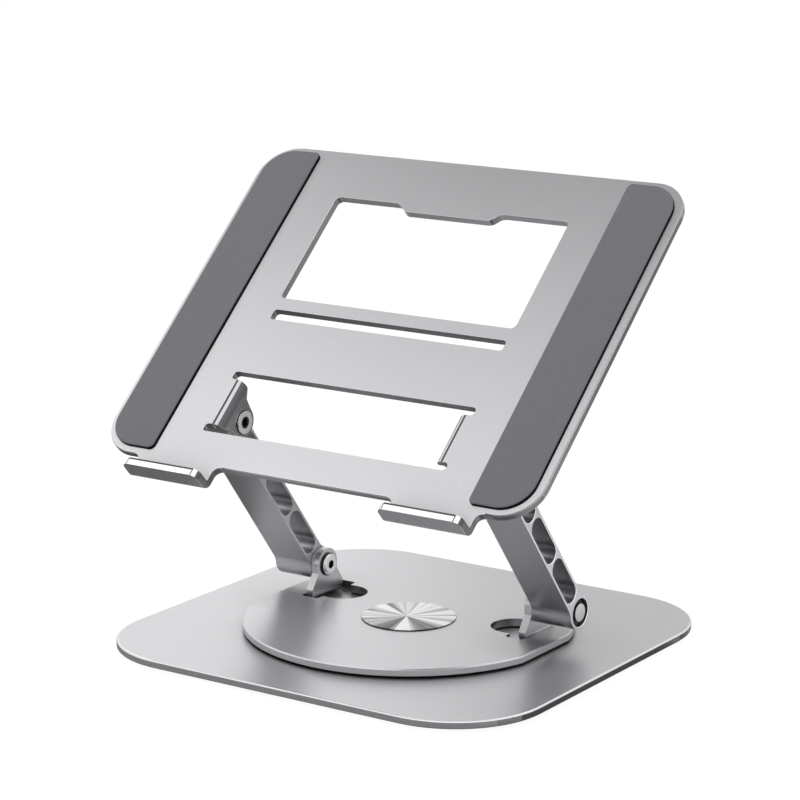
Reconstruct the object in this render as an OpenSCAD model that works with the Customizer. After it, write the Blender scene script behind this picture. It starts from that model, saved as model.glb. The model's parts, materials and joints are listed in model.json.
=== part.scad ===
// Folding laptop stand: a tray of bent sheet on two arms, over a disc that turns on a flat base.
// Frame: +Z up, +Y away from the user, origin under the middle of the base, at the surface the stand rests on.

/* [Base] */
// Width of the base plate
base_w = 240; // [225:1:255]
// Depth of the base plate
base_d = 229; // [215:1:245]
// Distance of the turning axis behind the base plate's centre
axis_y = 2; // [0:0.5:6]
// Corner radius of the base plate
base_corner_r = 48; // [35:1:60]
// Thickness of the base plate
base_t = 4; // [3.5:0.1:6]
// Radius of a foot
foot_r = 12; // [8:0.5:14]
// Thickness of a foot
foot_t = 2; // [1.5:0.1:3]
// Depth of the shallow seat of a foot in the base plate
foot_seat = 0.5; // [0.3:0.1:0.8]
// Distance of a foot's centre inside the base plate's side edges
foot_inset = 33; // [28:1:38]

/* [Turntable] */
// Radius of the disc
disc_r = 84; // [80:0.2:88]
// Distance of the disc's two side flats from the turning axis
disc_flat = 81.2; // [77:0.5:83]
// Thickness of the disc
disc_t = 4; // [3.2:0.1:4.2]
// Thickness of the thrust washer, which sets the gap over the base plate
thrust_t = 0.7; // [0.6:0.1:1.5]
// Outer radius of the thrust washer
thrust_r = 40; // [32:1:44]
// Radius of the spindle
spindle_r = 12; // [11:0.1:13]
// Radius of the spindle's flange
flange_r = 20; // [18:0.5:24]
// Thickness of the spindle's flange
flange_t = 1.2; // [1:0.1:1.4]
// Height of the spindle's flange inside the base plate's underside
flange_sink = 0.4; // [0.2:0.1:0.6]
// Radius of the hole down the spindle
spindle_hole_r = 4; // [2:0.5:5]
// Radius of the retainer plate
retainer_r = 18; // [16:0.5:19]
// Thickness of the retainer plate
retainer_t = 1; // [0.8:0.1:1.1]
// Thickness of the slip washer under the retainer plate
slip_t = 0.5; // [0.3:0.1:0.6]
// Radius of the recess for the retainer plate
well_r = 22.5; // [21.8:0.1:23.2]
// Depth of the recess for the retainer plate
well_depth = 1.9; // [1.8:0.05:2.1]
// Radius of the centre cap
cap_r = 24; // [23.8:0.1:27]
// Height of the centre cap's rim
cap_rim = 0.5; // [0.4:0.1:1]
// Further rise of the centre cap to its middle
cap_rise = 0.5; // [0.2:0.1:1.5]
// Width of the bevel round the centre cap
cap_bevel = 0.8; // [0.4:0.1:1.2]
// Rise of that bevel
cap_bevel_rise = 0.2; // [0.1:0.05:0.4]
// Radius of the flat spot in the middle of the centre cap
cap_flat_r = 2; // [1:0.5:4]
// Wall of the centre cap's skirt
cap_skirt = 1.6; // [1:0.1:2.2]
// Radius of the circle that the retainer screws lie on
screw_circle_r = 7.8; // [7.4:0.1:8.4]
// Radius of a retainer screw's shank
screw_r = 1.5; // [1.2:0.1:1.6]
// Radius of a retainer screw's head
screw_head_r = 2.7; // [2.4:0.1:3]
// Length of a retainer screw's shank
screw_len = 4.4; // [3:0.1:5]

/* [Windows and lugs of the disc] */
// Distance of a window's inner end from the turning axis
window_tip = 40; // [36:1:44]
// Half width of a window
window_half = 12.4; // [10:0.2:13]
// Half width of the relief at a lug's root
relief_half = 17.5; // [16:0.5:20]
// Length of the relief at a lug's root
relief_len = 10.5; // [8:0.5:12]
// Corner radius of that relief
relief_r = 2; // [1:0.5:3]
// Half width of a disc lug at its root
disc_lug_root = 13.5; // [12.5:0.1:14.5]
// Height above the disc at which a disc lug starts to narrow
flare_low = 2.2; // [1:0.1:4]
// Height above the disc at which a disc lug has narrowed to its waist
flare_high = 9.8; // [8:0.1:12]
// Half width of a disc lug's waist
disc_lug_waist = 8.2; // [7.6:0.1:8.3]
// Radius of a disc lug's round end
disc_lug_r = 8.4; // [8:0.1:8.6]
// Outer radius of the bend at a disc lug
disc_bend_r = 4.7; // [4.4:0.1:5.4]

/* [Arms and hinges] */
// Distance of the lower hinge line behind the turning axis
hinge_y = 17.4; // [14:0.1:24]
// Height of the lower hinge line above the surface the stand rests on
hinge_z = 23.6; // [23:0.1:26]
// Distance of the lugs' outer faces from the middle of the stand
lug_face = 66.7; // [64:0.1:68]
// Thickness of a friction washer
friction_t = 0.6; // [0.4:0.1:1]
// Radius of a friction washer
friction_r = 8; // [7:0.1:8.3]
// Distance between the two hinge lines of an arm
arm_len = 114; // [108:0.5:120]
// Lean of the arms away from upright
arm_lean = 38.1; // [34:0.1:42]
// Width of an arm, along the hinge line
arm_w = 22.7; // [20:0.1:23.5]
// Thickness of an arm, across its length
arm_t = 12.6; // [11.5:0.1:13.2]
// Radius of an arm's round ends
arm_hub_r = 8.6; // [8.3:0.1:8.8]
// Radius of the fillets between an arm's bar and its round ends
arm_fillet_r = 10; // [6:0.5:14]
// Wall above and below the cells of an arm
arm_wall = 1.2; // [0.8:0.1:2]
// Number of cells in an arm
cell_count = 3; // [2:1:5]
// Web between two cells
cell_web = 1.6; // [1.2:0.1:3]
// Distance of the end cells from the hinge lines
cell_start = 10.5; // [10:0.1:13]
// Radius of the well for spring washers and nut in an arm's outer face
nut_well_r = 7.2; // [6.8:0.1:7.4]
// Outer radius of a hinge bush
bush_r = 4.5; // [4:0.1:5]
// Radius of a hinge bolt's shank
bolt_r = 3; // [2.6:0.1:3.2]
// Number of spring washers in a stack
spring_count = 3; // [2:1:4]
// Thickness of a spring washer
spring_t = 1.3; // [1:0.1:1.5]
// Gap between two spring washers of a stack
spring_gap = 0.02; // [0.01:0.01:0.05]
// Outer radius of a spring washer
spring_r = 6.9; // [6.2:0.1:7]
// Radius of a lock nut
nut_r = 4.6; // [4.2:0.1:5.2]
// Thickness of a lock nut
nut_t = 2; // [1.6:0.1:3]
// Thickness of the skin that closes a lock nut's outer end
nut_skin = 0.6; // [0.4:0.1:0.8]
// Radius of the washer under a lower bolt's head
lower_washer_r = 6.1; // [6:0.1:7]
// Thickness of the washer under a lower bolt's head
lower_washer_t = 0.9; // [0.5:0.1:1.2]
// Radius of a lower bolt's flange
lower_flange_r = 5.6; // [5:0.1:6]
// Thickness of a lower bolt's flange
lower_flange_t = 0.7; // [0.5:0.1:1.5]
// Radius of the raised collar on a lower bolt's flange
lower_collar_r = 4.7; // [3.6:0.1:4.9]
// Height of the raised collar on a lower bolt's flange
lower_collar_t = 0.7; // [0.5:0.1:2]
// Radius of the washer under an upper bolt's head
upper_washer_r = 6.1; // [5.9:0.1:7]
// Thickness of the washer under an upper bolt's head
upper_washer_t = 0.3; // [0.2:0.1:1]
// Radius of an upper bolt's flat head
upper_head_r = 5.8; // [5:0.1:5.9]
// Thickness of an upper bolt's flat head
upper_head_t = 0.6; // [0.5:0.1:2]
// Radius of the shallow recess round the socket of an upper bolt
upper_recess_r = 3; // [2.8:0.1:4]
// Depth of that recess
upper_recess = 0.3; // [0.1:0.05:0.4]
// Key size of the bolts' hexagon sockets, across flats
key_size = 4; // [3:0.5:4.5]
// Depth of the bolts' hexagon sockets
key_depth = 2.4; // [2:0.1:3]

/* [Tray] */
// Width of the tray
tray_w = 252; // [240:1:260]
// Depth of the tray up its slope
tray_d = 200; // [190:1:215]
// Thickness of the tray's sheet
tray_t = 4; // [3.5:0.1:4.4]
// Corner radius of the tray
tray_corner_r = 20; // [12:1:24]
// Tilt of the tray from level
tray_tilt = 41.8; // [38:0.1:46]
// Distance of the upper hinge line from the tray's front edge
tray_hinge_v = 36.8; // [35:0.1:38]
// Distance of the upper hinge line under the tray's top face
tray_hinge_drop = 14.9; // [14.3:0.1:17]
// Half width of a tray lug at its root
tray_lug_root = 13.8; // [12:0.1:14.5]
// Distance of the middle of a tray lug's root behind the hinge line
tray_lug_shift = 0.9; // [0:0.1:1.5]
// Depth under the top face of a tray lug's shoulder
tray_lug_shoulder = 4.8; // [3.5:0.1:6]
// Depth under the top face at which a tray lug has narrowed
tray_lug_waist = 8.3; // [7:0.1:10]
// How far a tray lug is still wider there than its round end, on each side
tray_lug_flare = 1.4; // [0.4:0.1:2]
// How far a tray lug has narrowed at its shoulder, on each side
tray_lug_taper = 0.9; // [0:0.1:1.5]
// Radius of a tray lug's round end
tray_lug_r = 8.1; // [7.6:0.1:8.5]
// Outer radius of the bend at a tray lug
tray_bend_r = 4.7; // [4.6:0.1:5.2]
// Front edge of the lower opening, from the tray's front edge
low_open_front = 19.4; // [18:0.1:21]
// Rear edge of the lower opening, from the tray's front edge
low_open_rear = 56.2; // [53:0.2:60]
// How far the relief notches reach from the middle of the tray
notch_reach = 71; // [69.5:0.5:73]
// Half length of the slot
slot_half = 68.5; // [50:0.5:80]
// Distance of the slot's middle from the tray's front edge
slot_v = 93.1; // [85:0.1:97]
// Width of the slot
slot_w = 6.2; // [4:0.2:9]
// Half width of the upper opening
high_open_half = 69.3; // [60:0.1:75]
// Front edge of the upper opening, from the tray's front edge
high_open_front = 103.5; // [102:0.5:112]
// Rear edge of the upper opening, from the tray's front edge
high_open_rear = 170.4; // [160:0.2:178]
// How far the middle of the upper opening's rear edge steps forward
step_depth = 4.8; // [2:0.1:8]
// Half width of that step
step_half = 25.4; // [15:0.2:40]
// How far each side of that step slopes outwards
step_slope = 4; // [1:0.2:6]
// Bevel at the outer corners of that step
step_bevel = 1; // [0.4:0.1:1.6]
// Corner radius of the openings
open_corner_r = 3; // [1.5:0.5:5]
// Corner radius of the slot
slot_corner_r = 1.8; // [0.6:0.1:1.9]
// Corner radius of the relief notches
notch_r = 2; // [1:0.1:2.1]

/* [Lips and pads] */
// Distance of a lip's middle from the middle of the tray
lip_x = 75.2; // [70:0.5:80]
// Width of a lip
lip_w = 45.5; // [35:0.1:55]
// How far the lips reach in front of the tray's front edge
lip_reach = 12.3; // [10:0.1:16]
// Height of the lips over the tray's top face
lip_h = 9.6; // [7:0.1:14]
// Outer radius of the bend at a lip
lip_bend_r = 4.8; // [4.6:0.1:7]
// Radius of a lip's top corners
lip_corner_r = 4; // [1:0.1:5]
// Radius of the fillets where a lip's neck leaves the tray
lip_neck_r = 4; // [2:0.1:5]
// Distance of a pad's inner edge from the middle of the tray
pad_inner = 92; // [86:0.5:96]
// Margin between the tray's side and rear edges and a pad
pad_margin = 4; // [2:0.1:6]
// Margin between the tray's front edge and a pad
pad_front = 3.2; // [2:0.1:6]
// Thickness of a pad
pad_t = 2.5; // [1.2:0.1:3]
// Radius of a pad's inner corners
pad_inner_r = 3; // [2:0.5:6]

/* [Edges and fits] */
// Ease along the outer edges of the sheets
edge_ease = 0.6; // [0.3:0.1:1]
// Ease along a pad's top edge
pad_ease = 0.4; // [0.2:0.1:0.6]
// Radial clearance of a shaft that turns in its bore
run_gap = 0.05; // [0.03:0.01:0.1]
// Clearance of a piece in the seat that locates it
seat_gap = 0.1; // [0.05:0.01:0.2]

/* [Hidden] */

$fn = 48;
fine_fn = 96;
// Overrun of a cutter past the face it cuts
over = 1;
// How far a fillet runs into the round end that it meets
fillet_sink = 0.05;

sheet_color = "gainsboro";
pad_color = "dimgray";
dark_color = [0.15, 0.15, 0.16];
steel_color = "silver";
plastic_color = "ivory";

// Heights of the stack on the turning axis
base_z = foot_t - foot_seat;
base_top = base_z + base_t;
disc_z = base_top + thrust_t;
disc_top = disc_z + disc_t;
well_z = disc_top - well_depth;
slip_top = well_z + slip_t;
retainer_z = slip_top + seat_gap;
flange_z = base_z + flange_sink;
flange_top = flange_z + flange_t;
screw_tip_z = retainer_z - screw_len;

// Stack along the hinge lines
arm_in = lug_face + friction_t;
arm_out = arm_in + arm_w;
stack_t = spring_count * (spring_t + spring_gap);
nut_x = arm_out - nut_t;
spring_x = nut_x - stack_t;
bore_r = bolt_r + run_gap;
loose_r = bolt_r + 3 * seat_gap;
lower_lug_in = lug_face - disc_t;
upper_lug_in = lug_face - tray_t;

// The upper hinge line
upper_y = axis_y + hinge_y - arm_len * sin(arm_lean);
upper_z = hinge_z + arm_len * cos(arm_lean);

// Corners of the pads follow the tray's corners
pad_outer_r = tray_corner_r - pad_margin;
pad_w = tray_w / 2 - pad_margin - pad_inner;
pad_d = tray_d - pad_margin - pad_front;

// ---- Shared shapes ----

// Drops a point that repeats the one before it
function distinct(pts) = [for (i = [0 : len(pts) - 1]) if (i == 0 || pts[i] != pts[i - 1]) pts[i]];

// Right-hand edge of a plate's section, eased at the bottom and the top
function edge_points(x, t, top, bottom) =
    distinct([[x - bottom, 0], [x, bottom], [x, t - top], [x - top, t]]);

// The same edge on the left-hand side, in the order that closes the section
function far_edge_points(x, t, top, bottom) =
    let (pts = edge_points(x, t, top, bottom))
    [for (i = [len(pts) - 1 : -1 : 0]) [-pts[i][0], pts[i][1]]];

// Puts its children on both sides of the stand
module both_sides() {
    children();
    mirror([1, 0, 0]) children();
}

// Disc or sector of a disc, from z = 0 to t, with eased edges
module eased_disc(r, t, top, bottom, sector = 360) {
    rotate_extrude(angle = sector, $fn = r > 30 ? fine_fn : $fn)
        polygon(concat([[0, 0]], edge_points(r, t, top, bottom), [[0, t]]));
}

// One side of a rounded plate, at high x: a straight strip between two quarter discs
module eased_side(w, d, t, r, top, bottom) {
    rotate([90, 0, 0])
        linear_extrude(d - 2 * r, center = true)
            polygon(concat([[w / 2 - r, 0]], edge_points(w / 2, t, top, bottom), [[w / 2 - r, t]]));
    for (far = [0, 1])
        mirror([0, far, 0])
            translate([w / 2 - r, d / 2 - r, 0])
                eased_disc(r, t, top, bottom, 90);
}

// Rounded plate from z = 0 to t with eased edges; r0 rounds its corners at low x and r1 at high x
module eased_plate(w, d, t, r0, r1, top, bottom) {
    mirror([1, 0, 0])
        eased_side(w, d, t, r0, top, bottom);
    eased_side(w, d, t, r1, top, bottom);
    translate([r0 - w / 2, 0, 0])
        rotate([90, 0, 90])
            linear_extrude(w - r0 - r1)
                polygon(concat(edge_points(d / 2, t, top, bottom), far_edge_points(d / 2, t, top, bottom)));
}

// Rectangle from corner a to corner b with rounded corners
module rounded_rect(a, b, r) {
    translate([a[0] + r, a[1]])
        square([b[0] - a[0] - 2 * r, b[1] - a[1]]);
    translate([a[0], a[1] + r])
        square([b[0] - a[0], b[1] - a[1] - 2 * r]);
    for (x = [a[0] + r, b[0] - r], y = [a[1] + r, b[1] - r])
        translate([x, y])
            circle(r);
}

// Section of a sheet bent through a right angle about the origin: a flat leg along +x, a wall along +y
module bent_section(r_out, t, flat_len, wall_len) {
    translate([0, -r_out])
        square([flat_len, t]);
    translate([-r_out, 0])
        square([t, wall_len]);
    difference() {
        intersection() {
            circle(r_out);
            translate([-r_out, -r_out])
                square(r_out);
        }
        circle(r_out - t);
    }
}

// Extrudes a y-z outline along x, from x0 to x1
module along_x(x0, x1) {
    translate([x0, 0, 0])
        rotate([90, 0, 90])
            linear_extrude(x1 - x0)
                children();
}

// Round bar along x, from x0 to x1
module rod(x0, x1, r) {
    translate([x0, 0, 0])
        rotate([0, 90, 0])
            cylinder(h = x1 - x0, r = r);
}

// Ring along x, from x0 to x1
module ring(x0, x1, r_out, r_in) {
    difference() {
        rod(x0, x1, r_out);
        rod(x0 - over, x1 + over, r_in);
    }
}

// Moves its children from the origin to the turning axis
module on_axis() {
    translate([0, axis_y, 0])
        children();
}

// Moves its children from a hinge line to the lower or the upper hinge
module at_lower() {
    translate([0, axis_y + hinge_y, hinge_z])
        children();
}

module at_upper() {
    translate([0, upper_y, upper_z])
        children();
}

// ---- Base ----

module foot_places() {
    for (sx = [-1, 1], sy = [-1, 1])
        translate([sx * (base_w / 2 - foot_inset), sy * (base_d / 2 - foot_inset), 0])
            children();
}

module base_plate() {
    color(sheet_color)
        difference() {
            translate([0, 0, base_z])
                eased_plate(base_w, base_d, base_t, base_corner_r, base_corner_r, edge_ease, edge_ease);
            on_axis() {
                translate([0, 0, base_z - over])
                    cylinder(h = flange_top - base_z + over, r = flange_r + seat_gap);
                translate([0, 0, base_z])
                    cylinder(h = base_t + over, r = spindle_r + seat_gap);
            }
            foot_places()
                translate([0, 0, base_z - over])
                    cylinder(h = over + foot_seat, r = foot_r + seat_gap);
        }
}

module corner_feet() {
    color(dark_color)
        foot_places()
            cylinder(h = foot_t, r = foot_r);
}

module screw_places() {
    for (i = [0 : 2])
        rotate([0, 0, 120 * i + 90])
            translate([screw_circle_r, 0, 0])
                children();
}

module spindle_hub() {
    color(steel_color)
        on_axis()
            difference() {
                union() {
                    translate([0, 0, flange_z])
                        cylinder(h = flange_t, r = flange_r);
                    translate([0, 0, flange_z])
                        cylinder(h = retainer_z - flange_z, r = spindle_r);
                }
                translate([0, 0, flange_z - over])
                    cylinder(h = retainer_z - flange_z + 2 * over, r = spindle_hole_r);
                screw_places()
                    translate([0, 0, screw_tip_z])
                        cylinder(h = retainer_z, r = screw_r + run_gap);
            }
}

module thrust_washer() {
    color(plastic_color)
        on_axis()
            translate([0, 0, base_top])
                difference() {
                    cylinder(h = thrust_t, r = thrust_r, $fn = fine_fn);
                    translate([0, 0, -over])
                        cylinder(h = thrust_t + 2 * over, r = spindle_r + seat_gap);
                }
}

module retainer_plate() {
    color(steel_color)
        on_axis()
            translate([0, 0, retainer_z])
                difference() {
                    cylinder(h = retainer_t, r = retainer_r);
                    translate([0, 0, -over])
                        cylinder(h = retainer_t + 2 * over, r = spindle_hole_r);
                    screw_places() {
                        translate([0, 0, -over])
                            cylinder(h = over + retainer_t, r = screw_r + run_gap);
                        cylinder(h = retainer_t, r1 = screw_r + run_gap, r2 = screw_head_r + run_gap);
                    }
                }
}

module retainer_screws() {
    color(steel_color)
        on_axis()
            screw_places()
                difference() {
                    union() {
                        translate([0, 0, screw_tip_z])
                            cylinder(h = retainer_z - screw_tip_z, r = screw_r);
                        translate([0, 0, retainer_z])
                            cylinder(h = retainer_t, r1 = screw_r, r2 = screw_head_r);
                    }
                    translate([0, 0, retainer_z + retainer_t / 4])
                        cylinder(h = retainer_t, r = screw_head_r / 2, $fn = 6);
                }
}

// ---- Turntable ----

// Window that a lug is bent out of, with the relief at the lug's root
module window_outline() {
    bend_line = lower_lug_in + disc_bend_r;
    translate([window_tip + window_half, 0])
        circle(window_half);
    translate([window_tip + window_half, -window_half])
        square([bend_line - window_tip - window_half, 2 * window_half]);
    rounded_rect([bend_line - relief_len, -relief_half], [bend_line, relief_half], relief_r);
}

// Side view of a disc lug, about its hinge line
module disc_lug_outline() {
    drop = hinge_z - disc_z;
    top_face = disc_t - drop;
    circle(disc_lug_r);
    polygon([
        [-disc_lug_root, -drop], [disc_lug_root, -drop], [disc_lug_root, top_face + flare_low],
        [disc_lug_waist, top_face + flare_high], [disc_lug_r, 0], [-disc_lug_r, 0],
        [-disc_lug_waist, top_face + flare_high], [-disc_lug_root, top_face + flare_low]
    ]);
}

module disc_lug() {
    difference() {
        intersection() {
            translate([lower_lug_in + disc_bend_r, 0, disc_z + disc_bend_r])
                rotate([90, 0, 0])
                    translate([0, 0, -axis_y - hinge_y])
                        linear_extrude(2 * disc_lug_root, center = true)
                            bent_section(disc_bend_r, disc_t, 2 * over, hinge_z);
            at_lower()
                along_x(lower_lug_in - over, lug_face + disc_bend_r + over)
                    disc_lug_outline();
        }
        at_lower()
            rod(lower_lug_in - over, lug_face + over, bore_r);
    }
}

module turntable_disc() {
    color(sheet_color) {
        on_axis()
            difference() {
                intersection() {
                    translate([0, 0, disc_z])
                        eased_disc(disc_r, disc_t, edge_ease, edge_ease);
                    translate([0, 0, disc_z])
                        rotate([90, 0, 0])
                            linear_extrude(2 * disc_r + 2 * over, center = true)
                                polygon(concat(edge_points(disc_flat, disc_t, edge_ease, edge_ease),
                                    far_edge_points(disc_flat, disc_t, edge_ease, edge_ease)));
                }
                translate([0, 0, disc_z - over])
                    cylinder(h = disc_t + 2 * over, r = spindle_r + run_gap);
                translate([0, 0, well_z])
                    cylinder(h = well_depth + over, r = well_r);
                both_sides()
                    translate([0, hinge_y, disc_z - over])
                        linear_extrude(disc_t + 2 * over)
                            window_outline();
            }
        both_sides()
            disc_lug();
    }
}

module slip_washer() {
    color(plastic_color)
        on_axis()
            translate([0, 0, well_z])
                difference() {
                    cylinder(h = slip_t, r = well_r - 2 * seat_gap);
                    translate([0, 0, -over])
                        cylinder(h = slip_t + 2 * over, r = spindle_r + 4 * seat_gap);
                }
}

module centre_cap() {
    spigot_r = well_r - 2 * seat_gap;
    spigot_in = spigot_r - cap_skirt;
    color(sheet_color)
        on_axis()
            rotate_extrude($fn = fine_fn)
                polygon([
                    [0, disc_top], [spigot_in, disc_top], [spigot_in, slip_top], [spigot_r, slip_top],
                    [spigot_r, disc_top], [cap_r, disc_top], [cap_r, disc_top + cap_rim],
                    [cap_r - cap_bevel, disc_top + cap_rim + cap_bevel_rise],
                    [cap_flat_r, disc_top + cap_rim + cap_rise],
                    [0, disc_top + cap_rim + cap_rise]
                ]);
}

// ---- Hinge hardware, drawn about the hinge line on the right-hand side ----

// Socket for a hexagon key, from x0 inwards
module key_socket(x0) {
    translate([x0 - over, 0, 0])
        rotate([0, 90, 0])
            cylinder(h = key_depth + over, r = key_size / 2 / cos(30), $fn = 6);
}

// Bolt with a flange and a raised collar
module collar_bolt(lug_in) {
    flange_x = lug_in - lower_washer_t - lower_flange_t;
    difference() {
        union() {
            rod(flange_x - lower_collar_t, flange_x + over / 2, lower_collar_r);
            rod(flange_x, flange_x + lower_flange_t, lower_flange_r);
            rod(flange_x + lower_flange_t / 2, arm_out - nut_skin - seat_gap, bolt_r);
        }
        key_socket(flange_x - lower_collar_t);
    }
}

// Bolt with a flat head
module flat_bolt(lug_in) {
    head_x = lug_in - upper_washer_t - upper_head_t;
    difference() {
        union() {
            rod(head_x, head_x + upper_head_t, upper_head_r);
            rod(head_x + upper_head_t / 2, arm_out - nut_skin - seat_gap, bolt_r);
        }
        key_socket(head_x);
        rod(head_x - over, head_x + upper_recess, upper_recess_r);
    }
}

module spring_stack() {
    for (i = [0 : spring_count - 1]) {
        x = spring_x + i * (spring_t + spring_gap);
        ring(x, x + spring_t, spring_r, loose_r);
    }
}

module lock_nut() {
    difference() {
        rod(nut_x, arm_out, nut_r);
        rod(nut_x - over, arm_out - nut_skin, bore_r);
    }
}

module hinge_bush() {
    ring(arm_in, spring_x, bush_r, bore_r);
}

module friction_washer() {
    ring(lug_face, arm_in, friction_r, loose_r);
}

module lower_bolt_left() {
    color(steel_color)
        mirror([1, 0, 0])
            at_lower()
                collar_bolt(lower_lug_in);
}

module lower_bolt_right() {
    color(steel_color)
        at_lower()
            collar_bolt(lower_lug_in);
}

module lower_head_washers() {
    color(dark_color)
        both_sides()
            at_lower()
                ring(lower_lug_in - lower_washer_t, lower_lug_in, lower_washer_r, loose_r);
}

module lower_spring_washers() {
    color(dark_color)
        both_sides()
            at_lower()
                spring_stack();
}

module lower_lock_nuts() {
    color(steel_color)
        both_sides()
            at_lower()
                lock_nut();
}

module lower_hinge_bushes() {
    color(plastic_color)
        both_sides()
            at_lower()
                hinge_bush();
}

module lower_friction_washers() {
    color(dark_color)
        both_sides()
            at_lower()
                friction_washer();
}

module upper_bolt_left() {
    color(steel_color)
        mirror([1, 0, 0])
            at_upper()
                flat_bolt(upper_lug_in);
}

module upper_bolt_right() {
    color(steel_color)
        at_upper()
            flat_bolt(upper_lug_in);
}

module upper_head_washers() {
    color(dark_color)
        both_sides()
            at_upper()
                ring(upper_lug_in - upper_washer_t, upper_lug_in, upper_washer_r, loose_r);
}

module upper_spring_washers() {
    color(dark_color)
        both_sides()
            at_upper()
                spring_stack();
}

module upper_lock_nuts() {
    color(steel_color)
        both_sides()
            at_upper()
                lock_nut();
}

module upper_hinge_bushes() {
    color(plastic_color)
        both_sides()
            at_upper()
                hinge_bush();
}

module upper_friction_washers() {
    color(dark_color)
        both_sides()
            at_upper()
                friction_washer();
}

// ---- Arms ----

// Bar between the two round ends, with a fillet at each of its four corners
module filleted_bar() {
    half = arm_t / 2;
    met_r = arm_hub_r - fillet_sink;
    centre_y = half + arm_fillet_r;
    reach = met_r + arm_fillet_r;
    centre_x = sqrt(reach * reach - centre_y * centre_y);
    touch_x = centre_x * met_r / reach;
    touch_y = centre_y * met_r / reach;
    difference() {
        polygon([
            [touch_x, touch_y], [centre_x, half], [arm_len - centre_x, half], [arm_len - touch_x, touch_y],
            [arm_len - touch_x, -touch_y], [arm_len - centre_x, -half], [centre_x, -half], [touch_x, -touch_y]
        ]);
        for (x = [centre_x, arm_len - centre_x], y = [-centre_y, centre_y])
            translate([x, y])
                circle(arm_fillet_r, $fn = fine_fn);
    }
}

// Round-ended cell, from s0 to s1 along the arm
module cell(s0, s1) {
    r = arm_t / 2 - arm_wall;
    for (s = [s0 + r, s1 - r])
        translate([s, 0])
            circle(r);
    translate([s0 + r, -r])
        square([s1 - s0 - 2 * r, 2 * r]);
}

// All the cells of an arm
module cells() {
    cell_len = (arm_len - 2 * cell_start - (cell_count - 1) * cell_web) / cell_count;
    for (i = [0 : cell_count - 1]) {
        s = cell_start + i * (cell_len + cell_web);
        cell(s, s + cell_len);
    }
}

module arm() {
    at_lower()
        rotate([90 + arm_lean, 0, 0])
            difference() {
                union() {
                    along_x(arm_in, arm_out)
                        filleted_bar();
                    for (s = [0, arm_len])
                        translate([0, s, 0])
                            rod(arm_in, arm_out, arm_hub_r);
                }
                along_x(arm_in - over, arm_out + over)
                    cells();
                for (s = [0, arm_len])
                    translate([0, s, 0]) {
                        rod(arm_in - over, arm_out, bush_r);
                        rod(spring_x, arm_out + over, nut_well_r);
                    }
            }
}

module arm_left() {
    color(sheet_color)
        mirror([1, 0, 0])
            arm();
}

module arm_right() {
    color(sheet_color)
        arm();
}

// ---- Tray, drawn level with its top face at z = 0 and its front edge at y = 0 ----

module on_tray() {
    at_upper()
        rotate([tray_tilt, 0, 0])
            translate([0, -tray_hinge_v, tray_hinge_drop])
                children();
}

// Upper opening, with its stepped rear edge
module high_opening() {
    half = high_open_half;
    rear = high_open_rear;
    low_rear = rear - step_depth;
    foot = step_half;
    top = step_half + step_slope;
    rounded_rect([-half, high_open_front], [half, low_rear], open_corner_r);
    both_sides() {
        polygon([
            [foot - step_slope, low_rear - step_depth], [half, low_rear - step_depth],
            [half, rear - open_corner_r], [half - open_corner_r, rear], [top + step_bevel, rear],
            [top - step_bevel / 2, rear - step_bevel], [foot, low_rear], [foot - step_slope, low_rear]
        ]);
        translate([half - open_corner_r, rear - open_corner_r])
            circle(open_corner_r);
    }
}

// Lower opening, with the relief notches at the roots of the lugs
module low_opening() {
    bend_line = upper_lug_in + tray_bend_r;
    root = tray_hinge_v + tray_lug_shift;
    translate([-bend_line, low_open_front])
        square([2 * bend_line, low_open_rear - low_open_front]);
    both_sides() {
        rounded_rect([upper_lug_in, low_open_front], [notch_reach, root - tray_lug_root], notch_r);
        rounded_rect([upper_lug_in, root + tray_lug_root], [notch_reach, low_open_rear], notch_r);
    }
}

// Side view of a tray lug, about its hinge line
module tray_lug_outline() {
    drop = tray_hinge_drop;
    front = tray_lug_shift - tray_lug_root;
    rear = tray_lug_shift + tray_lug_root;
    narrow = tray_lug_r + tray_lug_flare;
    circle(tray_lug_r);
    polygon([
        [front, drop], [front + tray_lug_taper, drop - tray_lug_shoulder], [-narrow, drop - tray_lug_waist],
        [-tray_lug_r, 0], [tray_lug_r, 0],
        [narrow, drop - tray_lug_waist], [rear - tray_lug_taper, drop - tray_lug_shoulder], [rear, drop]
    ]);
}

module tray_lug() {
    difference() {
        intersection() {
            translate([upper_lug_in + tray_bend_r, tray_hinge_v, -tray_bend_r])
                mirror([0, 0, 1])
                    rotate([90, 0, 0])
                        linear_extrude(2 * (tray_lug_root + tray_lug_shift), center = true)
                            bent_section(tray_bend_r, tray_t, notch_reach - upper_lug_in, tray_hinge_drop + tray_lug_r);
            translate([0, tray_hinge_v, -tray_hinge_drop])
                along_x(upper_lug_in - over, lug_face + notch_reach)
                    tray_lug_outline();
        }
        translate([0, tray_hinge_v, -tray_hinge_drop])
            rod(upper_lug_in - over, lug_face + over, bore_r);
    }
}

// Front view of a lip, from the sheet's underside to its top edge
module lip_outline() {
    half = lip_w / 2;
    shoulder = lip_h - lip_corner_r;
    translate([-half, -tray_t - over])
        square([lip_w, shoulder + tray_t + over]);
    translate([lip_corner_r - half, 0])
        square([lip_w - 2 * lip_corner_r, lip_h]);
    for (side = [-1, 1])
        translate([side * (half - lip_corner_r), shoulder])
            circle(lip_corner_r);
}

// Fillet between a neck's side and the tray's front edge
module neck_fillet() {
    difference() {
        translate([-over, -lip_neck_r])
            square([lip_neck_r + over, lip_neck_r + 2 * over]);
        translate([lip_neck_r, -lip_neck_r])
            circle(lip_neck_r);
    }
}

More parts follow.
